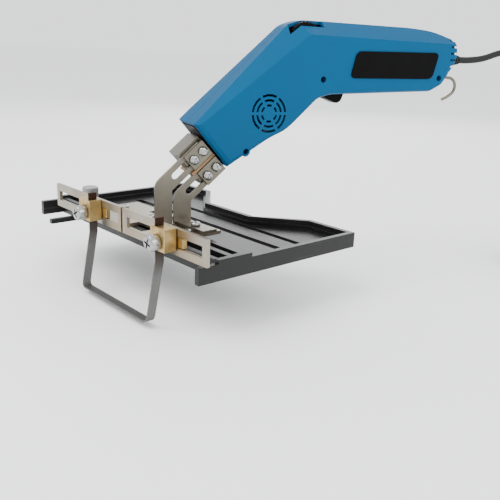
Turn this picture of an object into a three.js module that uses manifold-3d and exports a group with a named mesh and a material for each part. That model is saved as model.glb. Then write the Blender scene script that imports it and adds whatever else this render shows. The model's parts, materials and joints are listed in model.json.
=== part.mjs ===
// A hot wire groove cutter: a hand-held low-voltage heating tool on a plastic sled.
// The tool feeds two slotted contact bars through two forked arms, and a flat hot wire hangs
// from brass clamps on the bars. Millimetres, +Z up. The origin is on the sled's underside.
// X runs along the contact bars, Y runs from the bars to the back of the sled.
import * as THREE from 'three';
import { mergeVertices } from 'three/addons/utils/BufferGeometryUtils.js';
import Module from 'manifold-3d';

const wasm = await Module();
wasm.setup();

// ---- driving dimensions ----
const GAP = 0.3;                // air kept between touching pieces

const SLED_HALF = 121.5;        // half of the sled's width
const SLED_BACK = 90;
const SLED_FRONT = -53;         // the front wall's outer face
const SLED_ARMS = -72;          // the side walls run on to here
const WALL = 4.6;
const WALL_TOP = 12.5;
const FLOOR_TOP = 5;
const LEDGE_TOP = 8.5;
const LEDGE = 2.4;
const NOTCH_Y = 56;             // the back wall steps in to here
const WING = 50;                // each back wing's width
const NOTCH_RUN = 38;           // how far each diagonal wall runs along X
const DECK_TOP = 13.7;          // the raised front deck carries the contact plates

const BAR_FRONT = -70;
const BAR_THICK = 3;
const BAR_LOW = 14;
const BAR_HIGH = 34;
const BAR_SLOT = [19.9, 28];
const PLATE = 3;                // thickness of the contact plates behind the bars

const TOOL_FOOT = [25.7, -16.8, 0];   // where the tool's own frame stands on the sled
const TOOL_YAW = 72.8;                // the tool's length direction, degrees from +X
const NOSE = [16.7, 81.2];            // centre of the tool's mouth in its own frame
const HEAD_TILT = 42;                 // barrel axis above level, degrees
const ARM_WIDTH = 14.5;
const ARM_THICK = 2.4;
const ARM_W = -7.9;                   // the arms' place across the tool
const ARM_SLOT = 5.6;
const UPPER_LINE = -1.2;              // the arms' centre lines, across the barrel axis
const LOWER_LINE = -18.5;

const HOUSING_HALF = 22;
const SHELL = 2.6;
const BEVEL = 4;

const CLAMP_X = [-19.5, 85];
const WIRE_X = [-15, 80.5];
const WIRE_TOP = 40;
const WIRE_LOW = -37;
const WIRE_WIDE = 7;
const WIRE_THICK = 1.2;
const WIRE_BEND = 8;
const WIRE_LEAN = 0.19;
const CLAMP_Z = 26;

const CORD_R = 3;
const COIL = [198, 321];              // the stored coil's centre, beside the tool's back end
const COIL_MEAN = 32;                 // from the coil's centre to the middle of its turns
const COIL_THICK = 11.2;              // the bundle of turns is this thick, from its middle
const FLOOR = -42;                    // what the hanging cord comes down to

// ---- finishes ----
function finish(color, roughness, metalness) {
  return new THREE.MeshStandardMaterial({ color, roughness, metalness });
}
const blue = finish(0x1c75ab, 0.45, 0);
const black = finish(0x151617, 0.5, 0);
const nickel = finish(0xc8c0b4, 0.3, 1);
const brass = finish(0xb08d52, 0.35, 1);
const steel = finish(0xb9bcc0, 0.25, 1);
const copper = finish(0xb06a45, 0.35, 1);
const wireMetal = finish(0x6a6a68, 0.5, 0.9);
const sledPlastic = finish(0x5a5a58, 0.5, 0);
const insulation = finish(0x6b3f28, 0.7, 0);
const boardGreen = finish(0x1f6b45, 0.5, 0);
const laminate = finish(0x3c3c40, 0.6, 0.6);
const rubber = finish(0x1b1b1c, 0.8, 0);

// ---- shapes ----
const object = new THREE.Group();
const deg = THREE.MathUtils.degToRad;

const tool = new THREE.Group();
tool.position.set(...TOOL_FOOT);
tool.rotation.z = deg(TOOL_YAW);
object.add(tool);
tool.updateMatrixWorld(true);

function piece(name, shape, material, parent = object) {
  const geometry = shape.isBufferGeometry ? shape : toGeometry(shape);
  const mesh = new THREE.Mesh(geometry, material);
  mesh.name = name;
  parent.add(mesh);
  return mesh;
}

function solid(geometry) {
  const bare = geometry.clone();
  bare.deleteAttribute('normal');
  bare.deleteAttribute('uv');
  const merged = mergeVertices(bare, 1e-4);
  return new wasm.Manifold(new wasm.Mesh({
    numProp: 3,
    vertProperties: new Float32Array(merged.attributes.position.array),
    triVerts: new Uint32Array(merged.index.array),
  }));
}

function toGeometry(manifold) {
  const mesh = manifold.getMesh();
  const geometry = new THREE.BufferGeometry();
  geometry.setAttribute('position', new THREE.BufferAttribute(mesh.vertProperties, 3));
  geometry.setIndex(new THREE.BufferAttribute(mesh.triVerts, 1));
  return geometry;
}

// a box from its lowest to its highest corner
function box(x0, x1, y0, y1, z0, z1) {
  const geometry = new THREE.BoxGeometry(x1 - x0, y1 - y0, z1 - z0);
  return geometry.translate((x0 + x1) / 2, (y0 + y1) / 2, (z0 + z1) / 2);
}

// a round bar along Z, from z0 to z1
function rod(radius, x, y, z0, z1, sides = 16) {
  const geometry = new THREE.CylinderGeometry(radius, radius, z1 - z0, sides);
  return geometry.rotateX(Math.PI / 2).translate(x, y, (z0 + z1) / 2);
}

// a round bar along Y, from y0 to y1
function rodY(radius, x, z, y0, y1, sides = 16) {
  const geometry = new THREE.CylinderGeometry(radius, radius, y1 - y0, sides);
  return geometry.translate(x, (y0 + y1) / 2, z);
}

function shapeOf(points) {
  return new THREE.Shape(points.map(([x, y]) => new THREE.Vector2(x, y)));
}

// an outline with rounded corners: each corner is [x, y, radius]
function softShape(corners) {
  const shape = new THREE.Shape();
  corners.forEach(([x, y, radius], i) => {
    const here = new THREE.Vector2(x, y);
    const before = new THREE.Vector2(...corners.at(i - 1).slice(0, 2)).sub(here).normalize();
    const after = new THREE.Vector2(...corners[(i + 1) % corners.length].slice(0, 2));
    after.sub(here).normalize();
    const start = here.clone().addScaledVector(before, radius);
    const end = here.clone().addScaledVector(after, radius);
    if (i === 0) shape.moveTo(start.x, start.y);
    else shape.lineTo(start.x, start.y);
    if (radius > 0) shape.quadraticCurveTo(x, y, end.x, end.y);
  });
  shape.closePath();
  return shape;
}

// an outline drawn on the XY plane, from z0 up to z1
function slab(shape, z0, z1, curveSegments = 4) {
  const depth = z1 - z0;
  const geometry = new THREE.ExtrudeGeometry(shape, { depth, bevelEnabled: false, curveSegments });
  return geometry.translate(0, 0, z0);
}

// an outline drawn on the XZ plane, from y0 to y1
function sheet(shape, y0, y1, curveSegments = 4) {
  return slab(shape, -y1, -y0, curveSegments).rotateX(Math.PI / 2);
}

function union(...parts) {
  return parts.map((p) => (p.isBufferGeometry ? solid(p) : p)).reduce((a, b) => a.add(b));
}

function cut(body, ...tools) {
  let result = body.isBufferGeometry ? solid(body) : body;
  for (const t of tools) result = result.subtract(t.isBufferGeometry ? solid(t) : t);
  return result;
}

// a pan-head screw standing on the origin's plane, its head above and its shank below
function screw(headR, headHigh, shankR, shankLong, sides = 12) {
  const profile = [
    [0, -shankLong], [shankR, -shankLong], [shankR, 0], [headR, 0],
    [headR, headHigh * 0.55], [headR * 0.7, headHigh], [0, headHigh],
  ].map(([x, y]) => new THREE.Vector2(x, y));
  return new THREE.LatheGeometry(profile, sides).rotateX(Math.PI / 2);
}

// ---- sled ----
const notchHalf = SLED_HALF - WING - NOTCH_RUN;
function sledOutline(inset) {
  const h = SLED_HALF - inset;
  const back = SLED_BACK - inset;
  const notch = NOTCH_Y - inset;
  const slant = inset * 0.45;
  return shapeOf([
    [-h, SLED_FRONT + inset], [h, SLED_FRONT + inset], [h, back],
    [SLED_HALF - WING + slant, back], [notchHalf - slant, notch],
    [-notchHalf + slant, notch], [-SLED_HALF + WING - slant, back], [-h, back],
  ]);
}

const LOWER_SCREW = [51, -22];
const UPPER_SCREW = [14, -38.5];
const PLATE_SCREWS = [[-40, -31], [56, -34]];
const KNOB = [-97, -34];

function sled() {
  const deck = box(-SLED_HALF + 2, SLED_HALF - 2, -40, -24, 2, DECK_TOP);
  const sides = [-1, 1].map((side) => {
    const outer = side * SLED_HALF;
    const inner = side * (SLED_HALF - WALL);
    const [x0, x1] = [Math.min(outer, inner), Math.max(outer, inner)];
    return union(
      box(x0, x1, SLED_ARMS, SLED_FRONT + 1, 0, WALL_TOP),
      box(x0, x1, SLED_FRONT - 2, -24, 1, 15.5),
    );
  });
  const tray = cut(
    slab(sledOutline(0), 0, WALL_TOP),
    slab(sledOutline(WALL), LEDGE_TOP, WALL_TOP + 1),
    slab(sledOutline(WALL + LEDGE), FLOOR_TOP, WALL_TOP + 1),
  );
  const bosses = [LOWER_SCREW].map(([x, y]) => rod(5.5, x, y, 2, DECK_TOP));
  const frontWall = box(-SLED_HALF + 2, SLED_HALF - 2, SLED_FRONT, SLED_FRONT + WALL, 2, DECK_TOP);
  const finger = box(-86, -81.5, -81, SLED_FRONT + 1, 0, 4);
  const body = union(tray, deck, frontWall, finger, ...sides, ...bosses);
  const floorSlots = [[19.5, 26], [42.5, 48.6]].map(([y0, y1]) => box(-104, 104, y0, y1, -1, 9));
  const deckSlots = [[-78, -58], [76, 112]].map(([x0, x1]) => box(x0, x1, -35, -29, FLOOR_TOP, 20));
  const holes = [LOWER_SCREW, UPPER_SCREW, ...PLATE_SCREWS].map(([x, y]) => rod(2, x, y, 3, 20, 10));
  holes.push(rod(2.8, ...KNOB, 3, 20, 10));
  return cut(body, ...floorSlots, ...deckSlots, ...holes);
}
piece('sled_base', sled(), sledPlastic);

// ---- contact bars with their plates ----
function contactBar(x0, x1, slot, plates, holes, windows) {
  const bar = box(x0, x1, BAR_FRONT, BAR_FRONT + BAR_THICK, BAR_LOW, BAR_HIGH);
  const body = union(bar, ...plates.map((p) => box(...p, BAR_LOW, BAR_LOW + PLATE)));
  return cut(
    body,
    box(...slot, BAR_FRONT - 2, BAR_FRONT + BAR_THICK + 2, ...BAR_SLOT),
    ...holes.map(([x, y]) => rod(2, x, y, BAR_LOW - 1, BAR_LOW + PLATE + 1, 10)),
    ...windows.map((w) => box(...w, BAR_LOW - 1, BAR_LOW + PLATE + 1)),
  );
}
const barBack = BAR_FRONT + BAR_THICK - 1;
piece('bar_left', contactBar(
  -91, 18.3, [-86, 14.5],
  [[-53, 9, barBack, -10], [8, 31.5, -46, -31.2]],
  [UPPER_SCREW, PLATE_SCREWS[0]], [[-16, 3, -22, -15]],
), nickel);
piece('bar_right', contactBar(
  20.7, 127, [27, 122],
  [[34.5, 66, barBack, -8], [27.5, 36, -28.4, -13]],
  [LOWER_SCREW, PLATE_SCREWS[1]], [[55, 61, -18, -12]],
), nickel);

// ---- forked arms, in the tool's own plane, each with a flat foot ----
const axis = [Math.cos(deg(HEAD_TILT)), Math.sin(deg(HEAD_TILT))];
// a point of the tool's plane, from its distance along and across the barrel axis
function head(along, across) {
  return [
    NOSE[0] + axis[0] * along - axis[1] * across,
    NOSE[1] + axis[1] * along + axis[0] * across,
  ];
}

const PLATE_TOP = BAR_LOW + PLATE + GAP;
const ARM_TIP = -4;
const ARM_SLOT_END = -35.5;
function armOutline(line, upright) {
  const half = ARM_WIDTH / 2;
  const along = (upright - NOSE[0] + axis[1] * line) / axis[0];
  const [bendS, bendZ] = head(along, line);
  const mitre = (1 - axis[1]) / axis[0];
  const shape = new THREE.Shape();
  const foot = PLATE_TOP;
  shape.moveTo(bendS - half, foot);
  shape.lineTo(bendS + half, foot);
  shape.lineTo(bendS + half, bendZ - half * mitre);
  shape.lineTo(...head(ARM_TIP, line - half));
  shape.lineTo(...head(ARM_TIP, line - ARM_SLOT / 2));
  for (let i = 0; i <= 6; i += 1) {
    const turn = -Math.PI / 2 + (Math.PI * i) / 6;
    const reach = ARM_SLOT_END - (ARM_SLOT / 2) * Math.cos(turn);
    shape.lineTo(...head(reach, line + (ARM_SLOT / 2) * Math.sin(turn)));
  }
  shape.lineTo(...head(ARM_TIP, line + ARM_SLOT / 2));
  shape.lineTo(...head(ARM_TIP, line + half));
  const cornerS = bendS - half;
  const cornerZ = bendZ + half * mitre;
  shape.lineTo(cornerS + 5 * axis[0], cornerZ + 5 * axis[1]);
  shape.quadraticCurveTo(cornerS, cornerZ, cornerS, cornerZ - 5);
  shape.closePath();
  return shape;
}

function arm(line, upright, foot, hole) {
  const blade = sheet(armOutline(line, upright), ARM_W - ARM_THICK / 2, ARM_W + ARM_THICK / 2);
  blade.applyMatrix4(tool.matrixWorld);
  const tab = box(...foot, PLATE_TOP, PLATE_TOP + ARM_THICK);
  return cut(union(blade, tab), rod(2, ...hole, PLATE_TOP - 1, PLATE_TOP + 5, 10));
}
piece('arm_upper', arm(UPPER_LINE, -18.5, [5, 30, -45.6, -31.4], UPPER_SCREW), nickel);
piece('arm_lower', arm(LOWER_LINE, -2.7, [30.5, 69, -28.2, -14.6], LOWER_SCREW), nickel);

const armScrewTop = PLATE_TOP + ARM_THICK + GAP;
for (const [name, place] of [['arm_screw_upper', UPPER_SCREW], ['arm_screw_lower', LOWER_SCREW]]) {
  piece(name, screw(4, 2.6, 1.6, armScrewTop - 5), steel).position.set(...place, armScrewTop);
}
PLATE_SCREWS.forEach((place, i) => {
  const name = ['plate_screw_left', 'plate_screw_right'][i];
  piece(name, screw(3.6, 2.2, 1.6, PLATE_TOP - 5), steel).position.set(...place, PLATE_TOP);
});

// ---- locking knob: a round thumb nut on its threaded stud ----
const knobProfile = [[0, 0], [6, 0], [6, 1.2], [7.4, 2], [7.4, 11.4], [6.8, 12], [0, 12]];
const knobShape = new THREE.LatheGeometry(knobProfile.map(([x, y]) => new THREE.Vector2(x, y)), 24);
const knobTop = cut(knobShape.rotateX(Math.PI / 2), rod(2.5, 0, 0, -1, 8, 10));
piece('locking_knob', knobTop, steel).position.set(...KNOB, DECK_TOP + GAP);
piece('knob_stud', rod(2.2, ...KNOB, 4, DECK_TOP + 7, 10), steel);

// ---- clamps on the bars: a brass block, a shoe in the slot, a screw and a nut ----
const BLOCK_BACK = BAR_FRONT - GAP;
const BLOCK_FRONT = BLOCK_BACK - 10.6;
const WIRE_Y = BLOCK_BACK - 5.6;
function clampBlock(x, wireX) {
  return cut(
    box(x - 8.5, x + 8.5, BLOCK_FRONT, BLOCK_BACK, CLAMP_Z - 8.5, CLAMP_Z + 8.5),
    box(
      wireX - WIRE_THICK / 2 - GAP, wireX + WIRE_THICK / 2 + GAP,
      WIRE_Y - WIRE_WIDE / 2 - GAP, WIRE_Y + WIRE_WIDE / 2 + GAP, 0, 60,
    ),
    rodY(2.5, x, CLAMP_Z - 2, BLOCK_FRONT - 1, BLOCK_BACK + 1, 12),
  );
}
function clampShoe(x) {
  const back = BAR_FRONT + BAR_THICK;
  return cut(
    union(
      box(x - 15, x + 15, BAR_FRONT + GAP, back + 1, BAR_SLOT[0] + GAP, BAR_SLOT[1] - GAP),
      box(x - 11, x + 11, back + GAP, back + 3, 18, 30),
    ),
    rodY(2.5, x, CLAMP_Z - 2, BAR_FRONT - 1, BAR_FRONT + 12, 12),
  );
}
const SCREW_FACE = BLOCK_FRONT - GAP;
['left', 'right'].forEach((side, i) => {
  const x = CLAMP_X[i];
  piece(`clamp_block_${side}`, clampBlock(x, WIRE_X[i]), brass);
  piece(`clamp_shoe_${side}`, clampShoe(x), brass);
  const bolt = screw(6.6, 8, 2.2, 24, 16).rotateX(Math.PI / 2);
  piece(`clamp_screw_${side}`, bolt, steel).position.set(x, SCREW_FACE, CLAMP_Z - 2);
  const nut = new THREE.CylinderGeometry(5, 5, 3.6, 6).translate(0, 1.8, 0);
  const nutBored = cut(nut, rodY(2.5, 0, 0, -1, 5, 12));
  const nutPlace = [x, BAR_FRONT + BAR_THICK + 3 + GAP, CLAMP_Z - 2];
  piece(`clamp_nut_${side}`, nutBored, brass).position.set(...nutPlace);
});

// ---- hot wire: a flat strip bent to a U, leaning forward below the clamps ----
function hotWire() {
  const [x0, x1] = WIRE_X;
  const t = WIRE_THICK / 2;
  const turn = 5;
  const shape = new THREE.Shape();
  shape.moveTo(x0 - t, WIRE_BEND + 0.5);
  shape.lineTo(x0 - t, WIRE_LOW + turn);
  shape.quadraticCurveTo(x0 - t, WIRE_LOW - t, x0 + turn, WIRE_LOW - t);
  shape.lineTo(x1 - turn, WIRE_LOW - t);
  shape.quadraticCurveTo(x1 + t, WIRE_LOW - t, x1 + t, WIRE_LOW + turn);
  shape.lineTo(x1 + t, WIRE_BEND + 0.5);
  shape.lineTo(x1 - t, WIRE_BEND + 0.5);
  shape.lineTo(x1 - t, WIRE_LOW + turn);
  shape.quadraticCurveTo(x1 - t, WIRE_LOW + t, x1 - turn, WIRE_LOW + t);
  shape.lineTo(x0 + turn, WIRE_LOW + t);
  shape.quadraticCurveTo(x0 + t, WIRE_LOW + t, x0 + t, WIRE_LOW + turn);
  shape.lineTo(x0 + t, WIRE_BEND + 0.5);
  shape.closePath();
  const [y0, y1] = [WIRE_Y - WIRE_WIDE / 2, WIRE_Y + WIRE_WIDE / 2];
  const bow = sheet(shape, y0, y1, 4).translate(0, 0, -WIRE_BEND);
  bow.applyMatrix4(new THREE.Matrix4().makeShear(0, 0, 0, 0, 0, WIRE_LEAN));
  bow.translate(0, 0, WIRE_BEND);
  const legs = WIRE_X.map((x) => box(x - t, x + t, y0, y1, WIRE_BEND, WIRE_TOP));
  return union(bow, ...legs);
}
piece('cutting_wire', hotWire(), wireMetal);

// ---- tool head: terminals that grip the arms, inside the tool's own frame ----
// a box in the barrel's own directions: along the axis, across the tool, and up from the axis
function headBox(a0, a1, w0, w1, n0, n1) {
  const shape = shapeOf([head(a0, n0), head(a1, n0), head(a1, n1), head(a0, n1)]);
  return sheet(shape, w0, w1);
}
const BLOCK_END = -23;
const BODY_W = [ARM_W + ARM_THICK / 2 + GAP, 17];
const PLATE_W = [ARM_W - ARM_THICK / 2 - GAP - 3, ARM_W - ARM_THICK / 2 - GAP];
const SCREW_STEPS = [-6.4, -16.2];
const TAIL = [2.4, 5.4];               // the terminals' tails, above their screw lines
function screwHole(along, line, radius, w0, w1) {
  return rodY(radius, ...head(along, line), w0, w1, 12);
}
[['upper', UPPER_LINE, 9.6], ['lower', LOWER_LINE, 7.2]].forEach(([level, line, rise]) => {
  const holes = SCREW_STEPS.map((a) => screwHole(a, line, 2.4, -30, 12));
  const body = union(
    headBox(BLOCK_END, -0.7, ...BODY_W, line - 7.2, line + rise),
    headBox(-1.5, 16, -3, 9, line + TAIL[0], line + TAIL[1]),
  );
  piece(`terminal_${level}`, cut(body, ...holes), nickel, tool);
  const plate = cut(headBox(BLOCK_END + 2, -1.2, ...PLATE_W, line - 7, line + 7), ...holes);
  piece(`terminal_plate_${level}`, plate, nickel, tool);
  SCREW_STEPS.forEach((a, i) => {
    const name = `terminal_screw_${level}_${i + 1}`;
    const [s, z] = head(a, line);
    const bolt = screw(3.8, 3, 2, 16).rotateX(Math.PI / 2);
    piece(name, bolt, steel, tool).position.set(s, PLATE_W[0] - GAP, z);
  });
});
const splitLow = LOWER_LINE + 7.2 + GAP;
const splitHigh = UPPER_LINE - 7.2 - GAP;
piece('terminal_insulator', headBox(-25, -0.7, -12, 18, splitLow, splitHigh), insulation, tool);

// ---- housing: two half shells meeting on the tool's middle plane ----
function housingShape() {
  return softShape([
    [3, 98, 0], [31.5, 64, 0], [67.5, 86, 7], [83, 92.5, 7], [110.5, 118, 4], [122, 121, 4],
    [225, 124.5, 2.5], [236, 130, 2.5], [251, 152, 6], [249, 167.5, 6], [229, 175.3, 8],
    [206, 177.4, 9], [98, 178.5, 4], [84, 174, 4],
  ]);
}
function housingBody(half, bevel, inset) {
  const geometry = new THREE.ExtrudeGeometry(housingShape(), {
    depth: 2 * (half - bevel),
    bevelEnabled: true,
    bevelThickness: bevel,
    bevelSize: bevel,
    bevelOffset: -bevel - inset,
    bevelSegments: 2,
    curveSegments: 3,
  });
  return geometry.translate(0, 0, -(half - bevel)).rotateX(Math.PI / 2);
}

// the top slopes down to a crease on each side: planes through points [along, across, up]
const SLOPES = [
  [[3, HOUSING_HALF, 94.3], [97.5, HOUSING_HALF, 166.5], [84, 8, 174]],
  [[98, HOUSING_HALF, 167.3], [216, HOUSING_HALF, 165.6], [98, 8, 178.5]],
];
function slopeCutters(inset) {
  return SLOPES.flatMap((points) => [-1, 1].map((side) => {
    const [a, b, c] = points.map(([s, w, z]) => new THREE.Vector3(s, side * w, z));
    const up = b.clone().sub(a).cross(c.clone().sub(a)).normalize();
    if (up.z < 0) up.negate();
    const wedge = new THREE.BoxGeometry(600, 600, 80).translate(0, 0, 40 - inset);
    const turn = new THREE.Quaternion().setFromUnitVectors(new THREE.Vector3(0, 0, 1), up);
    return wedge.applyQuaternion(turn).translate(a.x, a.y, a.z);
  }));
}

// one curved vent slot around the fan's centre
function ventSlot(inner, outer, from, to) {
  const shape = new THREE.Shape();
  const steps = 3;
  for (let i = 0; i <= steps; i += 1) {
    const angle = from + ((to - from) * i) / steps;
    const [x, y] = [VENT[0] + outer * Math.cos(angle), VENT[1] + outer * Math.sin(angle)];
    if (i === 0) shape.moveTo(x, y);
    else shape.lineTo(x, y);
  }
  for (let i = steps; i >= 0; i -= 1) {
    const angle = from + ((to - from) * i) / steps;
    shape.lineTo(VENT[0] + inner * Math.cos(angle), VENT[1] + inner * Math.sin(angle));
  }
  shape.closePath();
  return sheet(shape, -30, 30);
}
const VENT = [65, 106];
const VENT_RINGS = [[5.5, 7.2], [9.5, 11.3], [13.4, 15.3]];
const VENT_SPOKES = 6;
const SPOKE_HALF = 1.1;
const vents = VENT_RINGS.flatMap(([inner, outer]) => Array.from({ length: VENT_SPOKES }, (_, i) => {
  const pitch = (2 * Math.PI) / VENT_SPOKES;
  const spoke = SPOKE_HALF / inner;
  return ventSlot(inner, outer, i * pitch + spoke, (i + 1) * pitch - spoke);
}));
const REAR_SLOTS = [134.5, 140, 145.5, 151, 156.5, 162, 167.5];
const REAR_SLOT_HIGH = 1.6;
const rearSlots = REAR_SLOTS.flatMap((z) => [[-30, -16.5], [16.5, 30]].map(([y0, y1]) => (
  box(241.5, 262, y0, y1, z, z + REAR_SLOT_HIGH)
)));
const TRIGGER_SLOT = [124, 148, -5.8, 5.8];
const DIAL = [100, 163.5];
const DIAL_R = 14;
const DIAL_W = [-12.4, -6.8];          // the dial's two faces, across the tool
const DIAL_SLOT = [84.6, 115.4, -14, -5.4];
const RELIEF = [246.5, 152];
const SCREW_DEEP = 10;                 // the housing screws' heads, from the middle plane
const HOUSING_SCREWS = [[46.2, 76], [113, 133], [231, 136]];
const BOSS_R = 4.4;

function shell(side) {
  const outer = cut(housingBody(HOUSING_HALF, BEVEL, 0), ...slopeCutters(0));
  const inner = cut(housingBody(HOUSING_HALF - SHELL, BEVEL - SHELL, SHELL), ...slopeCutters(SHELL));
  const keep = side < 0 ? box(-20, 280, -40, -GAP / 2, 40, 200) : box(-20, 280, GAP / 2, 40, 40, 200);
  const [boss0, boss1] = side < 0 ? [2 - HOUSING_HALF, -GAP / 2] : [GAP / 2, HOUSING_HALF - 2];
  const bossAt = ([s, z]) => rodY(BOSS_R, s, z, boss0, boss1, 10);
  const mouth = headBox(-12, 8, -15.5, 15.5, -19, 19);
  const body = cut(outer, inner).intersect(solid(keep)).add(union(...HOUSING_SCREWS.map(bossAt)));
  const near = side < 0 ? HOUSING_SCREWS.map(([s, z]) => rodY(2.6, s, z, -30, -SCREW_DEEP, 12)) : [];
  const holes = HOUSING_SCREWS.map(([s, z]) => rodY(1.9, s, z, -30, 16, 10));
  return cut(
    body, mouth, ...vents, ...rearSlots, ...near, ...holes,
    box(...TRIGGER_SLOT, 100, 130),
    rodY(DIAL_R + 1.4, ...DIAL, DIAL_SLOT[2], DIAL_SLOT[3], 20),
    box(...DIAL_SLOT, DIAL[1], 190),
    new THREE.CylinderGeometry(5.6, 5.6, 30, 16).rotateZ(Math.PI / 2).translate(RELIEF[0], 0, RELIEF[1]),
  );
}
piece('housing_left', shell(-1), blue, tool);
piece('housing_right', shell(1), blue, tool);
HOUSING_SCREWS.forEach(([s, z], i) => {
  const bolt = screw(2.2, 1.6, 1.5, 24, 10).rotateX(Math.PI / 2);
  piece(`housing_screw_${i + 1}`, bolt, steel, tool).position.set(s, -SCREW_DEEP - GAP, z);
});

// blank name plates, one on each side of the handle
function platePatch(side) {
  const shape = softShape([[138, 134.5, 5], [222.5, 135.2, 5], [228, 157.4, 5], [143, 156.2, 5]]);
  const [near, far] = [HOUSING_HALF + GAP, HOUSING_HALF + GAP + 0.8];
  return side < 0 ? sheet(shape, -far, -near) : sheet(shape, near, far);
}
piece('name_plate_left', platePatch(-1), black, tool);
piece('name_plate_right', platePatch(1), black, tool);

// the mouth's insulating plate, with windows for the arms and terminals
piece('nose_insulator', cut(
  headBox(0.4, 6, -15, 15, -18.4, 18.4),
  headBox(-1, 7, -3.4, 9.4, UPPER_LINE + TAIL[0] - 0.4, UPPER_LINE + TAIL[1] + 0.4),
  headBox(-1, 7, -3.4, 9.4, LOWER_LINE + TAIL[0] - 0.4, LOWER_LINE + TAIL[1] + 0.4),
  headBox(-1, 7, ARM_W - 2, ARM_W + 2, -30, UPPER_LINE + ARM_WIDTH / 2 + 0.6),
), black, tool);

// ---- inside the tool ----
const CORE = [81, 5];                   // along and across the barrel axis
const LIMB = 3.5;                       // half of the middle limb's width
const core = cut(
  headBox(CORE[0] - 15, CORE[0] + 15, -12, 12, CORE[1] - 13, CORE[1] + 11),
  headBox(CORE[0] - 8.5, CORE[0] - LIMB, -16, 16, CORE[1] - 8, CORE[1] + 8),
  headBox(CORE[0] + LIMB, CORE[0] + 8.5, -16, 16, CORE[1] - 8, CORE[1] + 8),
);
piece('transformer_core', core, laminate, tool);
const winding = cut(
  headBox(CORE[0] - 8.2, CORE[0] + 8.2, -16, 16, CORE[1] - 7.7, CORE[1] + 7.7),
  headBox(CORE[0] - LIMB - GAP, CORE[0] + LIMB + GAP, -12.3, 12.3, CORE[1] - 14, CORE[1] + 14),
);
piece('transformer_winding', winding, copper, tool);
// two thick copper bars carry the low voltage from the winding to the terminals
piece('busbar_upper', headBox(10, 65, 9.3, 12.3, UPPER_LINE + 1, UPPER_LINE + 6.5), copper, tool);
piece('busbar_lower', headBox(10, 36, 9.3, 12.3, LOWER_LINE + 2.2, LOWER_LINE + 6.5), copper, tool);
const motor = union(
  rodY(8, ...VENT, -7.6, 8.5, 16),
  box(VENT[0] - 6, VENT[0] + 6, 0, 8, VENT[1] - 12, VENT[1] - 5),
);
piece('fan_motor', cut(motor, rodY(1.6, ...VENT, -9, -4, 10)), black, tool);
function fan() {
  const hub = union(rodY(4.6, ...VENT, -16.5, -9, 12), rodY(1.2, ...VENT, -9.5, -4.6, 8));
  const blades = [];
  for (let i = 0; i < 7; i += 1) {
    const blade = new THREE.BoxGeometry(10.4, 6, 1).rotateX(0.6).translate(8.6, -12.75, 0);
    blade.rotateY((i * 2 * Math.PI) / 7).translate(VENT[0], 0, VENT[1]);
    blades.push(blade);
  }
  return union(hub, ...blades);
}
piece('fan_rotor', fan(), black, tool);
piece('circuit_board', box(158, 212, -13, 13, 160, 161.6), boardGreen, tool);
piece('trigger_switch', box(120, 150, -8, 8, 134.6, 146), black, tool);
piece('cord_clamp', box(222, 232, -9, 9, 144, 147), black, tool);

// ---- trigger, its spring and the heat dial ----
const triggerShape = softShape([
  [125, 130, 0], [125, 117.2, 1.5], [137.5, 112.6, 2], [141.5, 114.6, 2], [143.5, 120, 0], [143.5, 130, 0],
]);
piece('trigger', sheet(triggerShape, -5.3, 5.3, 3), black, tool);
const springStep = 8;
const springSteps = 4 * springStep;
class SpringCurve extends THREE.Curve {
  getPoint(t, target = new THREE.Vector3()) {
    const angle = (t * springSteps * 2 * Math.PI) / springStep;
    return target.set(136 + 2.4 * Math.cos(angle), 2.4 * Math.sin(angle), 130.8 + t * 2.9);
  }
}
const springSection = shapeOf([[0.3, 0], [0, 0.3], [-0.3, 0], [0, -0.3]]);
piece('trigger_spring', new THREE.ExtrudeGeometry(springSection, {
  steps: springSteps, extrudePath: new SpringCurve(), bevelEnabled: false,
}), steel, tool);

function dial() {
  const teeth = 30;
  const shape = new THREE.Shape();
  for (let i = 0; i < teeth * 2; i += 1) {
    const radius = i % 2 ? DIAL_R : DIAL_R - 0.7;
    const angle = (i * Math.PI) / teeth;
    const [x, y] = [DIAL[0] + radius * Math.cos(angle), DIAL[1] + radius * Math.sin(angle)];
    if (i === 0) shape.moveTo(x, y);
    else shape.lineTo(x, y);
  }
  shape.closePath();
  return cut(sheet(shape, ...DIAL_W), rodY(2.3, ...DIAL, -20, 0, 10));
}
piece('heat_dial', dial(), black, tool);
const potentiometer = union(
  rodY(2, ...DIAL, DIAL_W[0] - 0.5, 4, 10),
  rodY(7.5, ...DIAL, 2, 8, 14),
);
piece('potentiometer', potentiometer, steel, tool);

// ---- hanging hook on its lug under the cord ----
const HOOK = [244.5, 136];
const lug = cut(
  box(239, 247.6, -3.2, 3.2, 132.8, 139.2),
  rodY(1.9, ...HOOK, -6, 6, 10),
  housingBody(HOUSING_HALF + GAP, BEVEL + GAP, -GAP),
);
piece('hook_lug', lug, steel, tool);
const hookPoints = [
  [0, 4.6, 0], [0, -5, 0], [3, -6.6, 0.6], [9, -6, 0.2], [15, -5, -0.6], [20.4, -4, -4.6],
  [21.6, -3, -10.9], [16.8, -3, -15.8], [8.6, -3, -19.7],
].map(([along, across, up]) => [HOOK[0] + along, across, HOOK[1] + up]);
const spline = (points) => (
  new THREE.CatmullRomCurve3(points.map((p) => new THREE.Vector3(...p)), false, 'centripetal')
);
const ring = (radius, sides) => shapeOf(Array.from({ length: sides }, (_, i) => {
  const angle = (i * 2 * Math.PI) / sides;
  return [radius * Math.cos(angle), radius * Math.sin(angle)];
}));
piece('hanging_hook', new THREE.ExtrudeGeometry(ring(1.4, 8), {
  steps: 26, extrudePath: spline(hookPoints), bevelEnabled: false,
}), steel, tool);

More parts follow.
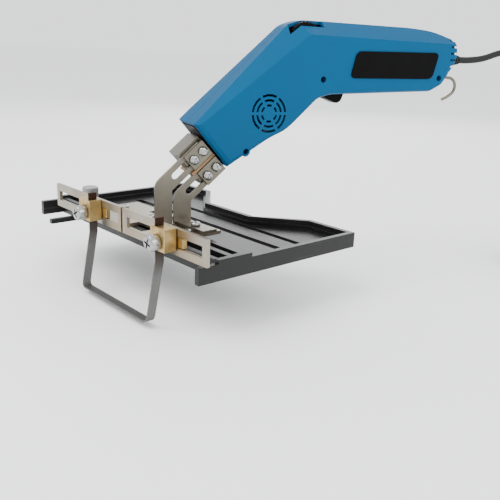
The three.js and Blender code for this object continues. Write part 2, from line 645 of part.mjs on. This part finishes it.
// ---- cord: strain relief, free run, stored coil and plug ----
const RELIEF_START = 237;
const RELIEF_LONG = 32;
const reliefProfile = [
  [0, 0], [6.6, 0], [6.6, 3], [5.2, 3.3], [5.2, 14.6], [6.3, 15], [6, 18], [3.9, RELIEF_LONG],
  [0, RELIEF_LONG],
].map(([x, y]) => new THREE.Vector2(x, y));
const relief = new THREE.LatheGeometry(reliefProfile, 16).rotateZ(-Math.PI / 2);
piece('strain_relief', relief, rubber, tool).position.set(RELIEF_START, 0, RELIEF[1]);

// the free run, from the relief's tip over and down to the coil
const cordRoute = [
  [109.3, 253.4, 152.3], [114, 268.5, 154.2], [120.5, 289, 160], [128, 305.5, 163],
  [137, 320, 158.5], [144.5, 331, 147], [149.5, 338, 129], [152.5, 341.5, 107],
  [154.3, 343.6, 84], [155.8, 345, 60], [157.4, 346, 37], [159.8, 346.8, 15], [164.5, 347.2, -3.5],
  [171, 347.4, -13],
];
const cordStart = [105.4, 240.6, 152];
piece('power_cord', new THREE.ExtrudeGeometry(ring(CORD_R, 8), {
  steps: 30, extrudePath: spline([cordStart, ...cordRoute]), bevelEnabled: false,
}), rubber);

const coilMiddle = FLOOR + COIL_THICK;
const coilProfile = Array.from({ length: 10 }, (_, i) => {
  const angle = ((i % 9) * 2 * Math.PI) / 9;
  return new THREE.Vector2(COIL_MEAN + COIL_THICK * Math.cos(angle), COIL_THICK * Math.sin(angle));
});
const coil = new THREE.LatheGeometry(coilProfile, 28).rotateX(Math.PI / 2);
piece('cord_coil', coil, rubber).position.set(...COIL, coilMiddle);

// a flat two-pin plug lying on the coil
const PLUG = [207, 295, -12.9];
const PLUG_LONG = 32;
const PIN_LONG = 17;
const plugShape = softShape([
  [0, -4, 2], [-9, -8, 3], [-18, -12, 3], [-PLUG_LONG, -12, 3], [-PLUG_LONG, 12, 3],
  [-18, 12, 3], [-9, 8, 3], [0, 4, 2],
]);
piece('plug_body', slab(plugShape, -6.6, 6.6), rubber).position.set(...PLUG);
[-9.5, 9.5].forEach((offset, i) => {
  const pin = new THREE.CylinderGeometry(2, 2, PIN_LONG, 10).rotateZ(Math.PI / 2);
  const pinX = PLUG[0] - PLUG_LONG - GAP - PIN_LONG / 2;
  piece(`plug_pin_${i + 1}`, pin, brass).position.set(pinX, PLUG[1] + offset, PLUG[2]);
});

export default object;
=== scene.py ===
"""A hot wire groove cutter: a hand-held heating tool standing on a plastic sled."""
import json
import math

import bmesh
import bpy
from mathutils import Matrix, Vector


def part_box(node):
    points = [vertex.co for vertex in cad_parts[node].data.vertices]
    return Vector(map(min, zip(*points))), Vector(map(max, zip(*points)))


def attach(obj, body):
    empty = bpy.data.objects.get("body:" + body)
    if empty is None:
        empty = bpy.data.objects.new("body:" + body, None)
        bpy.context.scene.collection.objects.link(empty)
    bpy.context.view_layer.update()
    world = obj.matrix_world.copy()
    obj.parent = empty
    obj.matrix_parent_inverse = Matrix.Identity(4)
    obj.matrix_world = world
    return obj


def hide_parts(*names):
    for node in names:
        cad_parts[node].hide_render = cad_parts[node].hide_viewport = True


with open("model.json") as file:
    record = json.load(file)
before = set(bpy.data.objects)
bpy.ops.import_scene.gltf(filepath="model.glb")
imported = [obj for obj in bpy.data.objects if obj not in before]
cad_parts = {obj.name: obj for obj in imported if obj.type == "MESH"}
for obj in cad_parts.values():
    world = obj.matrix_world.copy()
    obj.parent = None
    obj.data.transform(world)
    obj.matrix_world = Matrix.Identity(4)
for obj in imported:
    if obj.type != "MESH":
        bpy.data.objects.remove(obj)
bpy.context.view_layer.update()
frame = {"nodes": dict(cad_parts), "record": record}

# ---- camera and lights ----
# The camera stands off the sled's right front corner, level with the handle. The lights are
# large, so that the metal shows broad soft reflections and the shadows stay light.
CAMERA_AT = Vector((0.4480, -0.3222, 0.1531))
CAMERA_AHEAD = Vector((-0.7086, 0.6416, -0.2935)).normalized()
CAMERA_ROLL = math.radians(2.17)
LENS = 46.63


def linked(thing):
    bpy.context.scene.collection.objects.link(thing)
    return thing


camera = linked(bpy.data.objects.new("camera", bpy.data.cameras.new("camera")))
camera.data.lens = LENS
camera.data.clip_start = 0.01
level = CAMERA_AHEAD.cross(Vector((0, 0, 1))).normalized()
above = level.cross(CAMERA_AHEAD)
right = math.cos(CAMERA_ROLL) * level + math.sin(CAMERA_ROLL) * above
up = right.cross(CAMERA_AHEAD)
camera_turn = Matrix((right, up, -CAMERA_AHEAD)).transposed().to_4x4()
camera.matrix_world = Matrix.Translation(CAMERA_AT) @ camera_turn
bpy.context.scene.camera = camera


def area_light(name, at, aim, size, power):
    light = linked(bpy.data.objects.new(name, bpy.data.lights.new(name, "AREA")))
    light.data.shape = "SQUARE"
    light.data.size = size
    light.data.energy = power
    light.location = at
    light.rotation_euler = (Vector(aim) - Vector(at)).to_track_quat("-Z", "Y").to_euler()


MIDDLE = (0.02, 0.06, 0.06)
area_light("key", (-0.15, -0.75, 1.25), MIDDLE, size=0.9, power=17)
area_light("side", (1.35, 0.1, 0.75), MIDDLE, size=1.0, power=9)
area_light("back", (-0.9, 1.1, 0.9), MIDDLE, size=1.0, power=10)

SKY_COLOUR = (0.97, 0.985, 1.0, 1)
SKY_STRENGTH = 1.7
world = bpy.data.worlds.new("studio")
world.use_nodes = True
sky = world.node_tree.nodes["Background"]
sky.inputs["Color"].default_value = SKY_COLOUR
sky.inputs["Strength"].default_value = SKY_STRENGTH
bpy.context.scene.world = world

# ---- floor ----
# A wide sheet of pale paper just under the hanging wire. It is the first piece with a finish,
# so the two classes that every material is made with stand here.
FLOOR = -0.0422
FLOOR_HALF = 40.0


class Value:
    """a number that varies over a surface: arithmetic on it adds Math nodes"""

    def __init__(self, finish, socket):
        self.finish = finish
        self.socket = socket

    def math(self, operation, first, second):
        return self.finish.node("ShaderNodeMath", {"operation": operation}, {0: first, 1: second})

    def __add__(self, other):
        return self.math("ADD", self, other)

    def __radd__(self, other):
        return self.math("ADD", other, self)

    def __sub__(self, other):
        return self.math("SUBTRACT", self, other)

    def __rsub__(self, other):
        return self.math("SUBTRACT", other, self)

    def __mul__(self, other):
        return self.math("MULTIPLY", self, other)

    def __rmul__(self, other):
        return self.math("MULTIPLY", other, self)


class Finish:
    """one material: its constants sit on the shader, and its Values feed the shader"""

    def __init__(self, name, **constants):
        self.material = bpy.data.materials.new(name)
        self.material.use_nodes = True
        self.tree = self.material.node_tree
        self.shader = self.tree.nodes["Principled BSDF"]
        for key, value in constants.items():
            socket = key.replace("_", " ").title().replace("Ior", "IOR")
            self.shader.inputs[socket].default_value = value
        self.place = self.node("ShaderNodeTexCoord", {}, {}, "Object")

    def node(self, kind, settings, sockets, output=0):
        made = self.tree.nodes.new(kind)
        for key, value in settings.items():
            if key == "stops":
                ramp = made.color_ramp.elements
                for at, color in value[2:]:
                    ramp.new(at)
                for element, (at, color) in zip(ramp, value):
                    element.position = at
                    element.color = (*color, 1)
            else:
                setattr(made, key, value)
        for key, value in sockets.items():
            if isinstance(value, Value):
                self.tree.links.new(value.socket, made.inputs[key])
            else:
                made.inputs[key].default_value = value
        return Value(self, made.outputs[output])

    def noise(self, scale, detail=4.0, stretch=(1, 1, 1)):
        spread = self.node("ShaderNodeMapping", {}, {"Vector": self.place, "Scale": stretch})
        sockets = {"Vector": spread, "Scale": scale, "Detail": detail}
        return self.node("ShaderNodeTexNoise", {}, sockets, "Fac")

    def wave(self, direction, scale):
        settings = {"bands_direction": direction}
        return self.node("ShaderNodeTexWave", settings, {"Vector": self.place, "Scale": scale}, "Fac")

    def ramp(self, value, stops):
        return self.node("ShaderNodeValToRGB", {"stops": stops}, {"Fac": value})

    def mix(self, mask, first, second):
        first = first if isinstance(first, Value) else (*first, 1)
        second = second if isinstance(second, Value) else (*second, 1)
        return self.node("ShaderNodeMix", {"data_type": "RGBA"}, {0: mask, 6: first, 7: second}, 2)

    def spread(self, value, low, high):
        """value from low..high to 0..1, held at the ends"""
        sockets = {"Value": value, "From Min": low, "From Max": high}
        return self.node("ShaderNodeMapRange", {"clamp": True}, sockets)

    def feed(self, socket, value):
        self.tree.links.new(value.socket, self.shader.inputs[socket])
        return self

    def bump(self, height, distance, strength=1.0):
        sockets = {"Height": height, "Distance": distance, "Strength": strength}
        return self.feed("Normal", self.node("ShaderNodeBump", {}, sockets))


floor_finish = Finish("studio_paper", base_color=(0.96, 0.96, 0.96, 1), roughness=0.9)
floor_finish.feed("Roughness", 0.85 + floor_finish.noise(30.0) * 0.1)
floor_mesh = bpy.data.meshes.new("floor")
floor_corners = [
    (x * FLOOR_HALF, y * FLOOR_HALF, FLOOR) for x, y in ((-1, -1), (1, -1), (1, 1), (-1, 1))
]
floor_mesh.from_pydata(floor_corners, [], [(0, 1, 2, 3)])
floor_mesh.materials.append(floor_finish.material)
linked(bpy.data.objects.new("floor", floor_mesh))

# ---- power cord ----
# A round rubber-sheathed mains lead, 1.8 m long. It arches out of the relief and hangs to
# the floor, where the rest is wound into a round coil with the plug lying on it.
BODIES = frame["record"]["behaviour"]["bodies"]
BODY_OF = {node: body for body, nodes in BODIES.items() for node in nodes}


def made(name, mesh_or_curve, finish, *nodes, body=None, slot=None):
    """a new piece that stands for CAD nodes, or rides on a body of its own"""
    piece = linked(bpy.data.objects.new(name, mesh_or_curve))
    piece.data.materials.clear()
    piece.data.materials.append(finish.material)
    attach(piece, body or BODY_OF[nodes[0]])
    if nodes:
        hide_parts(*nodes)
    return piece


rubber = Finish("black_rubber", roughness=0.62, specular_ior_level=0.25)
scuff = rubber.spread(rubber.noise(90.0), 0.45, 0.75)
rubber.feed("Base Color", rubber.mix(scuff, (0.006, 0.006, 0.0065), (0.014, 0.014, 0.0145)))
rubber.feed("Roughness", 0.55 + scuff * 0.2)
rubber.bump(rubber.noise(1400.0, detail=2.0), 0.00006)

CORD_DIAMETER = 0.006
EXIT = (0.1054, 0.2406, 0.152)
ROUTE = [
    (0.1093, 0.2534, 0.1523), (0.114, 0.2685, 0.1542), (0.1205, 0.289, 0.16), (0.128, 0.3055, 0.163),
    (0.137, 0.32, 0.1585), (0.1445, 0.331, 0.147), (0.1495, 0.338, 0.129), (0.1525, 0.3415, 0.107),
    (0.1543, 0.3436, 0.084), (0.1558, 0.345, 0.06), (0.1574, 0.346, 0.037), (0.1598, 0.3468, 0.015),
    (0.1645, 0.3472, -0.0035), (0.1735, 0.3475, -0.0152), (0.185, 0.349, -0.021),
]
COIL_AT = Vector((0.198, 0.321, -0.0311))
COIL_MEAN = 0.032
STRANDS = 8
STRAND_OUT = 0.0079
TURNS = 7.25
TURN_STEPS = 24
FIRST_STRAND = math.radians(107)


def coil_points():
    """the stored turns, each one strand further round the bundle than the last"""
    for step in range(int(TURNS * TURN_STEPS) + 1):
        turn = 2 * math.pi * step / TURN_STEPS
        strand = FIRST_STRAND + turn / STRANDS
        reach = COIL_MEAN + STRAND_OUT * math.cos(strand)
        rise = STRAND_OUT * math.sin(strand)
        yield COIL_AT + Vector((reach * math.sin(turn), reach * math.cos(turn), rise))


LEAD_BEND = 0.026
LEAD_SHIFT = 0.0023
LEAD_FROM = COIL_AT + Vector((COIL_MEAN + LEAD_SHIFT - LEAD_BEND, 0, 0))
LEAD_RISE = ((22, -0.0216), (45, -0.0184), (68, -0.0150))
PLUG_GAP = 0.0005


def lead_points():
    """the cord's end, from the coil's last turn up to the plug's tail"""
    for angle, z in LEAD_RISE:
        turn = math.radians(angle)
        at = LEAD_FROM + LEAD_BEND * Vector((math.cos(turn), -math.sin(turn), 0))
        yield Vector((at.x, at.y, z))
    plug_low, plug_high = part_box("plug_body")
    middle = (plug_low + plug_high) / 2
    yield Vector((plug_high.x + PLUG_GAP, middle.y, middle.z))


def curve(name, points, radius, sides=4):
    """a round bar along a smooth line through the points"""
    line = bpy.data.curves.new(name, "CURVE")
    line.dimensions = "3D"
    line.bevel_depth = radius
    line.bevel_resolution = sides
    line.resolution_u = 5
    line.use_fill_caps = True
    spline = line.splines.new("BEZIER")
    spline.bezier_points.add(len(points) - 1)
    for knot, at in zip(spline.bezier_points, points):
        knot.co = at
        knot.handle_left_type = "AUTO"
        knot.handle_right_type = "AUTO"
    return line


cord_line = curve("cord", [EXIT, *ROUTE, *coil_points(), *lead_points()], CORD_DIAMETER / 2)
cord = made("cord", cord_line, rubber, "power_cord", "cord_coil")


# ---- plug ----
# A flat moulded two-pin plug on the cord's end. The body is one piece of black rubber, and the
# two pins are plain brass.
SHARP = 38
COPLANAR = 1
WELD = 2e-6


def soften(mesh, angle=SHARP):
    """smooth shading, broken at every edge sharper than the angle in degrees"""
    mesh.polygons.foreach_set("use_smooth", [True] * len(mesh.polygons))
    mesh.set_sharp_from_angle(angle=math.radians(angle))


def flatten(mesh):
    """wide flat faces are shaded exactly flat, whatever meets them at their corners"""
    normals = [corner.vector.copy() for corner in mesh.corner_normals]
    for face in mesh.polygons:
        if len(face.vertices) > 4:
            face.use_smooth = False
            for corner in face.loop_indices:
                normals[corner] = face.normal.copy()
    mesh.normals_split_custom_set(normals)


def finished(thing):
    """the object's mesh with its modifiers applied"""
    graph = bpy.context.evaluated_depsgraph_get()
    return bpy.data.meshes.new_from_object(thing.evaluated_get(graph))


def refined(node, finish, edge, segments=2):
    """a CAD node with its flat areas merged and its sharp edges rounded"""
    mesh = frame["nodes"][node].data.copy()
    shape = bmesh.new()
    shape.from_mesh(mesh)
    bmesh.ops.remove_doubles(shape, verts=shape.verts, dist=WELD)
    flat = math.radians(COPLANAR)
    bmesh.ops.dissolve_limit(shape, angle_limit=flat, verts=shape.verts, edges=shape.edges)
    shape.to_mesh(mesh)
    shape.free()
    soften(mesh)
    rough = linked(bpy.data.objects.new("rough", mesh))
    bevel = rough.modifiers.new("edges", "BEVEL")
    bevel.width = edge
    bevel.segments = segments
    bevel.limit_method = "ANGLE"
    bevel.angle_limit = math.radians(SHARP)
    bevel.miter_outer = "MITER_ARC"
    bevel.harden_normals = True
    even = rough.modifiers.new("even", "WEIGHTED_NORMAL")
    even.mode = "FACE_AREA"
    even.weight = 100
    even.keep_sharp = True
    fine = finished(rough)
    bpy.data.objects.remove(rough)
    flatten(fine)
    return made(f"{node}_fine", fine, finish, node)


plug = refined("plug_body", rubber, edge=0.0012, segments=3)

brass = Finish("brass", metallic=1.0)
tarnish = brass.spread(brass.noise(160.0, detail=6.0), 0.4, 0.7)
brass.feed("Base Color", brass.mix(tarnish, (0.46, 0.33, 0.14), (0.30, 0.20, 0.075)))
drawn = brass.noise(900.0, detail=2.0, stretch=(1, 1, 14))
brass.feed("Roughness", 0.24 + tarnish * 0.2 + drawn * 0.12)
brass.bump(brass.noise(700.0, detail=2.0, stretch=(1, 1, 14)), 0.00004)
pins = [refined(f"plug_pin_{i}", brass, edge=0.0006, segments=3) for i in (1, 2)]

# ---- sled ----
# One tray moulded in black-grey plastic. It has a raised front deck, two prongs beside the wire,
# two long floor slots and a notched back wall. Sliding leaves fine scratches along it.
sled_plastic = Finish("grey_plastic", specular_ior_level=0.22)
mottle = sled_plastic.noise(35.0, detail=5.0)
scratches = sled_plastic.spread(sled_plastic.noise(420.0, detail=3.0, stretch=(1, 0.04, 1)), 0.62, 0.7)
tone = sled_plastic.mix(mottle, (0.006, 0.006, 0.0058), (0.010, 0.010, 0.0097))
tone = sled_plastic.mix(scratches * 0.3, tone, (0.07, 0.07, 0.07))
sled_plastic.feed("Base Color", tone)
sled_plastic.feed("Roughness", 0.26 + mottle * 0.16 - scratches * 0.08)
sled_plastic.bump(sled_plastic.noise(2600.0, detail=2.0) + scratches * -0.6, 0.00005)
refined("sled_base", sled_plastic, edge=0.0007)

# ---- contact bars and forked arms ----
# Nickel-plated flat bar, with uneven straw tints from the heat of use and a fine grain from
# rolling. The arms are of the same stock, and their darker copy of the plating is painted shade.
nickel = Finish("nickel_plate", metallic=1.0)
grain = nickel.noise(850.0, detail=3.0, stretch=(0.05, 1, 1))
cloud = nickel.noise(28.0, detail=4.0)
heat = nickel.ramp(cloud, [
    (0.30, (0.28, 0.265, 0.225)), (0.48, (0.30, 0.275, 0.225)), (0.58, (0.31, 0.25, 0.17)),
    (0.66, (0.25, 0.215, 0.20)), (0.76, (0.27, 0.27, 0.265)),
])
nickel.feed("Base Color", heat)
nickel.feed("Roughness", 0.24 + grain * 0.16 + cloud * 0.08)
nickel.bump(grain + nickel.noise(240.0, detail=2.0) * 0.4, 0.00005)
for node in ("bar_left", "bar_right"):
    refined(node, nickel, edge=0.00035)

# A darker copy of the nickel: painted shade, for parts that face away from the light.
nickel_painted_shade = Finish("nickel_painted_shade", metallic=1.0)
brushing = nickel_painted_shade.noise(850.0, detail=3.0, stretch=(0.05, 1, 1))
stain = nickel_painted_shade.noise(36.0, detail=4.0)
nickel_painted_shade.feed("Base Color", nickel_painted_shade.mix(stain, (0.10, 0.092, 0.075), (0.21, 0.19, 0.15)))
nickel_painted_shade.feed("Roughness", 0.26 + brushing * 0.18)
nickel_painted_shade.bump(brushing + nickel_painted_shade.noise(240.0, detail=2.0) * 0.4, 0.00005)
for node in ("arm_upper", "arm_lower"):
    refined(node, nickel_painted_shade, edge=0.00035)

# ---- screws ----
# Zinc-plated machine screws with low domed heads and a cross or a straight recess. The same
# turned and cut shape serves the clamps' larger screws and the housing's small ones.
steel = Finish("bright_steel", metallic=1.0)
smear = steel.noise(300.0, detail=4.0)
steel.feed("Base Color", steel.mix(smear, (0.30, 0.30, 0.30), (0.40, 0.40, 0.39)))
steel.feed("Roughness", 0.16 + smear * 0.2)
steel.bump(steel.noise(1500.0, detail=2.0), 0.00003)


def lathe(profile, sides):
    """a closed body of turning, from its (radius, height) profile, about +Z"""
    shape = bmesh.new()
    rings = []
    for radius, height in profile:
        if radius == 0:
            rings.append([shape.verts.new((0, 0, height))])
            continue
        ring = []
        for i in range(sides):
            angle = 2 * math.pi * i / sides
            at = (radius * math.cos(angle), radius * math.sin(angle), height)
            ring.append(shape.verts.new(at))
        rings.append(ring)
    for low, high in zip(rings, rings[1:]):
        for i in range(sides):
            j = (i + 1) % sides
            corners = [low[i % len(low)], low[j % len(low)], high[j % len(high)], high[i % len(high)]]
            shape.faces.new(list(dict.fromkeys(corners)))
    bmesh.ops.recalc_face_normals(shape, faces=shape.faces)
    mesh = bpy.data.meshes.new("lathe")
    shape.to_mesh(mesh)
    shape.free()
    return mesh


def block(low, high):
    """a plain box mesh, used as a cutter"""
    shape = bmesh.new()
    bmesh.ops.create_cube(shape, size=1)
    size = Vector(high) - Vector(low)
    middle = (Vector(high) + Vector(low)) / 2
    shape.transform(Matrix.Translation(middle) @ Matrix.Diagonal((*size, 1)))
    mesh = bpy.data.meshes.new("block")
    shape.to_mesh(mesh)
    shape.free()
    return mesh


def carved(mesh, cutters):
    """the mesh with each cutter taken out of it"""
    body = linked(bpy.data.objects.new("body", mesh))
    tools = [linked(bpy.data.objects.new("tool", cutter)) for cutter in cutters]
    for tool in tools:
        boolean = body.modifiers.new("cut", "BOOLEAN")
        boolean.operation = "DIFFERENCE"
        boolean.solver = "EXACT"
        boolean.object = tool
    result = finished(body)
    for used in (body, *tools):
        bpy.data.objects.remove(used)
    return result


def span(node, direction):
    """the middle line of a round node: its mean point, and how far it reaches along direction"""
    corners = {tuple(round(c, 6) for c in v.co) for v in frame["nodes"][node].data.vertices}
    mean = sum((Vector(c) for c in corners), Vector()) / len(corners)
    along = [Vector(c).dot(direction) for c in corners]
    across = mean - direction * mean.dot(direction)
    return across, min(along), max(along)


def screw(node, direction, head, high, shank, drive, twist, dome=1.0):
    """a screw in its CAD node's place, with its head facing along direction"""
    across, low, top = span(node, direction)
    under = -high
    profile = [
        (0, low - top), (shank * 0.7, low - top), (shank, low - top + 0.0006), (shank, under),
        (head * 0.94, under), (head, under + high * 0.12), (head, -high * 0.45 * dome),
        (head * 0.93, -high * 0.25 * dome), (head * 0.78, -high * 0.09 * dome),
        (head * 0.5, -high * 0.02 * dome), (0, 0),
    ]
    mesh = lathe(profile, sides=28)
    half, depth = head * 0.13, high * (0.2 + 0.25 * dome)
    reach = head * (1.2 if drive == "slot" else 0.62)
    cutters = [block((-reach, -half, -depth), (reach, half, high))]
    if drive == "cross":
        cutters.append(block((-half, -reach, -depth), (half, reach, high)))
    mesh = carved(mesh, cutters)
    turn = direction.to_track_quat("Z", "Y").to_matrix().to_4x4() @ Matrix.Rotation(twist, 4, "Z")
    mesh.transform(Matrix.Translation(across + direction * top) @ turn)
    soften(mesh)
    return made(f"{node}_fine", mesh, steel, node)


UPWARD = Vector((0, 0, 1))
for node, twist in (("arm_screw_upper", 0.4), ("arm_screw_lower", 1.1)):
    screw(node, UPWARD, head=0.004, high=0.0026, shank=0.0016, drive="cross", twist=twist)
for node, twist in (("plate_screw_left", 0.2), ("plate_screw_right", 0.9)):
    screw(node, UPWARD, head=0.0036, high=0.0022, shank=0.0016, drive="cross", twist=twist)

# ---- locking knob ----
# A turned steel thumb nut, satin finished, on a stud that comes up through the deck. Its rim
# is plain, with a small chamfer above and below.
satin = Finish("satin_steel", metallic=1.0)
turning = satin.noise(700.0, detail=3.0, stretch=(1, 1, 20))
satin.feed("Base Color", satin.mix(turning, (0.26, 0.26, 0.255), (0.36, 0.36, 0.35)))
satin.feed("Roughness", 0.42 + turning * 0.15)
satin.bump(turning, 0.00004)
refined("locking_knob", satin, edge=0.0006, segments=3)
refined("knob_stud", satin, edge=0.0004)

# ---- clamps ----
# Each clamp is a brass block outside the bar and a brass shoe in the bar's slot, drawn
# together by a domed steel screw and a hex nut. The block holds one leg of the wire.
for side in ("left", "right"):
    refined(f"clamp_block_{side}", brass, edge=0.0005)
    refined(f"clamp_shoe_{side}", brass, edge=0.0004)
    refined(f"clamp_nut_{side}", brass, edge=0.0004)
FORWARD = Vector((0, -1, 0))
for node, twist in (("clamp_screw_left", 0.5), ("clamp_screw_right", -0.3)):
    screw(
        node, FORWARD, head=0.006, high=0.008, shank=0.0022, drive="cross", twist=twist, dome=0.35,
    )

# ---- hot wire ----
# A flat strip of resistance alloy bent to a U. It is grey where it cuts, and burnt brown
# where the legs run up into the clamps.
wire_metal = Finish("hot_wire", metallic=0.85)
height = wire_metal.node("ShaderNodeSeparateXYZ", {}, {0: wire_metal.place}, "Z")
burnt = wire_metal.spread(height + wire_metal.noise(120.0) * 0.012, 0.002, 0.028)
scale = wire_metal.noise(500.0, detail=5.0)
strip = wire_metal.mix(scale, (0.10, 0.10, 0.097), (0.17, 0.168, 0.162))
wire_metal.feed("Base Color", wire_metal.mix(burnt, strip, (0.035, 0.016, 0.010)))
wire_metal.feed("Roughness", 0.38 + scale * 0.25 + burnt * 0.15)
wire_metal.bump(scale, 0.00008)
refined("cutting_wire", wire_metal, edge=0.0002)

# ---- terminals ----
# Two nickel blocks grip the forked arms between themselves and a loose plate, with two
# screws each. A strip of amber insulating board keeps the blocks apart.
TOOL_YAW = math.radians(72.8)
TOOL_FOOT = Vector((0.0257, -0.0168, 0))
NEAR_SIDE = Vector((math.sin(TOOL_YAW), -math.cos(TOOL_YAW), 0))
# The blocks and plates take the darker nickel, which is painted shade.
for place in ("upper", "lower"):
    for kind in ("terminal", "terminal_plate"):
        refined(f"{kind}_{place}", nickel_painted_shade, edge=0.0005)
TERMINAL_SCREWS = ("upper_1", "upper_2", "lower_1", "lower_2")
for i, place in enumerate(TERMINAL_SCREWS):
    screw(
        f"terminal_screw_{place}", NEAR_SIDE, head=0.0038, high=0.003, shank=0.002,
        drive="cross" if i % 2 else "slot", twist=0.3 + i * 0.8,
    )

amber = Finish("insulation_board", coat_weight=0.3, coat_roughness=0.25)
fibres = amber.noise(600.0, detail=4.0, stretch=(1, 1, 0.1))
amber.feed("Base Color", amber.mix(fibres, (0.15, 0.075, 0.02), (0.27, 0.15, 0.05)))
amber.feed("Roughness", 0.42 + fibres * 0.2)
amber.bump(fibres, 0.00006)
refined("terminal_insulator", amber, edge=0.0003)

# ---- housing ----
# Two half shells of satin blue plastic, screwed together through three bosses. The moulding
# has a fine spark-eroded grain.
blue = Finish("blue_housing", specular_ior_level=0.12)
haze = blue.noise(22.0, detail=5.0)
blue.feed("Base Color", blue.mix(haze, (0.0002, 0.062, 0.150), (0.0004, 0.074, 0.175)))
blue.feed("Roughness", 0.52 + haze * 0.14)
blue.bump(blue.noise(2200.0, detail=2.0) + blue.noise(9.0, detail=1.0) * 3.0, 0.00004)
for node in ("housing_left", "housing_right"):
    refined(node, blue, edge=0.0006)
for i in (1, 2, 3):
    screw(
        f"housing_screw_{i}", NEAR_SIDE, head=0.0022, high=0.0016, shank=0.0015,
        drive="cross", twist=i * 0.7,
    )

# ---- black mouldings of the housing ----
# The blank name plates are thin black labels on the shells' sides. The mouth plate, the fan
# and the parts behind the vents are plain black moulded plastic.
black = Finish("black_plastic", specular_ior_level=0.05)
soft = black.noise(60.0, detail=4.0)
black.feed("Base Color", black.mix(soft, (0.0012, 0.0012, 0.0013), (0.003, 0.003, 0.0032)))
black.feed("Roughness", 0.36 + soft * 0.2)
black.bump(black.noise(1800.0, detail=2.0), 0.00005)
for node in ("name_plate_left", "name_plate_right", "nose_insulator", "fan_motor", "fan_rotor"):
    refined(node, black, edge=0.0003)
for node in ("trigger_switch", "cord_clamp"):
    refined(node, black, edge=0.0005)

# ---- inside the housing ----
# A small transformer with a stacked core feeds two copper bars. A fan cools it, and a
# circuit board and a dial control set the heat.
copper = Finish("copper", metallic=1.0)
patina = copper.noise(200.0, detail=5.0)
copper.feed("Base Color", copper.mix(patina, (0.60, 0.30, 0.18), (0.42, 0.20, 0.12)))
copper.feed("Roughness", 0.28 + patina * 0.25)
turns = copper.wave("Z", 160.0)
copper.bump(turns, 0.0003)
for node in ("transformer_winding", "busbar_upper", "busbar_lower"):
    refined(node, copper, edge=0.0005)

laminate = Finish("core_steel", metallic=0.6)
sheets = laminate.wave("DIAGONAL", 300.0)
laminate.feed("Base Color", laminate.mix(sheets, (0.03, 0.03, 0.032), (0.09, 0.09, 0.095)))
laminate.feed("Roughness", 0.5 + sheets * 0.15)
laminate.bump(sheets, 0.00015)
refined("transformer_core", laminate, edge=0.0004)

board = Finish("circuit_board", roughness=0.4)
cells = {"Vector": board.place, "Scale": 260.0}
edges = board.node("ShaderNodeTexVoronoi", {"feature": "DISTANCE_TO_EDGE"}, cells)
tracks = board.spread(edges, 0.04, 0.08)
board.feed("Base Color", board.mix(tracks, (0.05, 0.22, 0.12), (0.02, 0.12, 0.06)))
board.feed("Roughness", 0.35 + board.noise(80.0) * 0.2)
refined("circuit_board", board, edge=0.0002)
refined("potentiometer", steel, edge=0.0004)
refined("trigger_spring", steel, edge=0.00008)

# ---- trigger and heat dial ----
# The trigger is a black wedge with rounded edges, and it slides up into the handle.
# The heat dial is a toothed thumbwheel that stands out of a recess in the top.
refined("trigger", black, edge=0.0007, segments=3)
refined("heat_dial", black, edge=0.00025)


# ---- hanging hook ----
# A bent wire hook in nickel plate, in the darker nickel that is painted shade, on a steel lug under
# the cord's relief. It swings on its own straight end, which runs through the lug.
def tool_point(along, across, high):
    """a point of the tool's own frame, in metres"""
    flat = Matrix.Rotation(TOOL_YAW, 3, "Z") @ Vector((along, across, 0))
    return TOOL_FOOT + flat + Vector((0, 0, high))


HOOK = (0.2445, 0.136)
HOOK_WIRE = 0.0028
HOOK_BENDS = [
    (0, 0.0046, 0), (0, -0.005, 0), (0.003, -0.0066, 0.0006), (0.009, -0.006, 0.0002),
    (0.015, -0.005, -0.0006), (0.0204, -0.004, -0.0046), (0.0216, -0.003, -0.0109),
    (0.0168, -0.003, -0.0158), (0.0086, -0.003, -0.0197),
]
hook_points = [tool_point(HOOK[0] + a, across, HOOK[1] + z) for a, across, z in HOOK_BENDS]
hook_line = curve("hook", hook_points, HOOK_WIRE / 2)
made("hanging_hook_fine", hook_line, nickel_painted_shade, "hanging_hook")
refined("hook_lug", steel, edge=0.0005)

# ---- strain relief ----
# A tapered rubber sleeve that holds the cord where it leaves the handle. Its grooves let it
# bend, and its neck sits between the two shells.
RELIEF_START = 0.237
RELIEF_HIGH = 0.152
relief_profile = [
    (0, 0), (0.0062, 0), (0.0066, 0.0004), (0.0066, 0.003), (0.0052, 0.0033), (0.0052, 0.0146),
    (0.0060, 0.015), (0.0063, 0.0156),
]
RELIEF_LONG = 0.032
RIBS = 4
RIB_START = 0.0175
RIB_PITCH = 0.0033
RIB_RADIUS = 0.0061
RIB_TAPER = 0.0022
GROOVE = 0.0012
for rib in range(RIBS):
    foot = RIB_START + rib * RIB_PITCH
    radius = RIB_RADIUS - RIB_TAPER * rib / RIBS
    relief_profile += [
        (radius, foot), (radius, foot + 0.0019), (radius - GROOVE, foot + 0.0022),
        (radius - GROOVE, foot + 0.003),
    ]
relief_profile += [(0.0041, RELIEF_LONG - 0.001), (0.0038, RELIEF_LONG), (0, RELIEF_LONG)]
relief_mesh = lathe(relief_profile, sides=32)
relief_axis = tool_point(1, 0, 0) - tool_point(0, 0, 0)
relief_turn = relief_axis.to_track_quat("Z", "Y").to_matrix().to_4x4()
relief_mesh.transform(Matrix.Translation(tool_point(RELIEF_START, 0, RELIEF_HIGH)) @ relief_turn)
soften(relief_mesh, angle=30)
made("strain_relief_fine", relief_mesh, rubber, "strain_relief")
